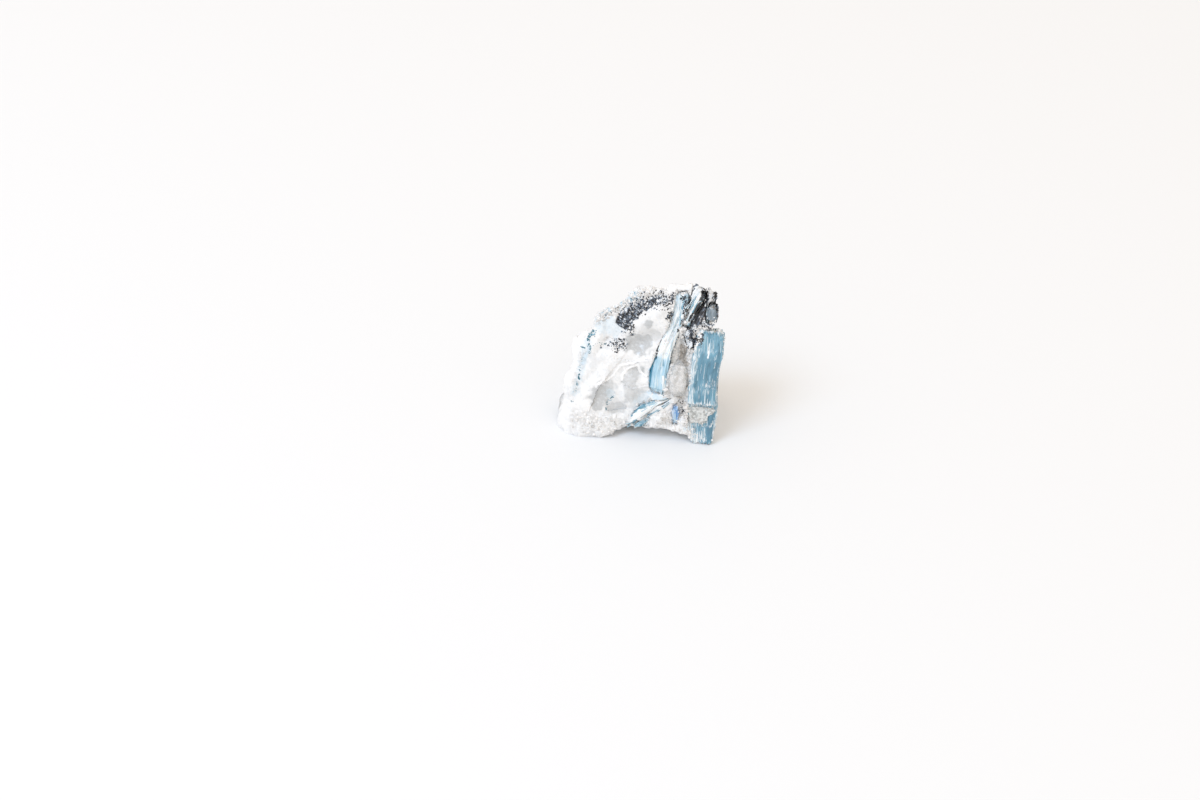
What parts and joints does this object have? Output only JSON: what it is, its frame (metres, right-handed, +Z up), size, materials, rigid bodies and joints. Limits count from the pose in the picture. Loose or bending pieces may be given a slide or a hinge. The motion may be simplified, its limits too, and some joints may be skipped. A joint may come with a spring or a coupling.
{
  "type": "kyanite blade cluster",
  "caption": "Small chip of milky quartz with flat blue kyanite blades and black mica seams, standing on a flat broken base.",
  "frame": {"origin": "centre of the bounding box on the plane of the flat base", "axes": "+X along the display face from its low left end to the broad blade, +Y from that face to the back, +Z up"},
  "size_m": [0.028, 0.018, 0.0259],
  "materials": {
    "milky_quartz": "satin",
    "grey_quartz": "satin",
    "clear_quartz": "gloss",
    "black_mica": "gloss",
    "blue_kyanite": "gloss",
    "pale_kyanite": "gloss"
  },
  "bodies": {
    "root": {"quartz_matrix": "milky_quartz", "quartz_crust": "grey_quartz", "quartz_grain_clear": "clear_quartz", "mica_band": "black_mica", "mica_wedge": "black_mica", "mica_seam_back": "black_mica", "kyanite_blade_broad": "blue_kyanite", "kyanite_blade_centre": "pale_kyanite", "kyanite_lath_top": "pale_kyanite", "kyanite_stub_top": "pale_kyanite", "kyanite_blade_slanted": "blue_kyanite", "kyanite_splinter_low": "blue_kyanite", "kyanite_blade_small": "blue_kyanite", "kyanite_blade_back_tall": "blue_kyanite", "kyanite_blade_back_cross": "blue_kyanite", "kyanite_blade_back_low": "blue_kyanite", "kyanite_blade_left": "pale_kyanite"}
  },
  "joints": []
}
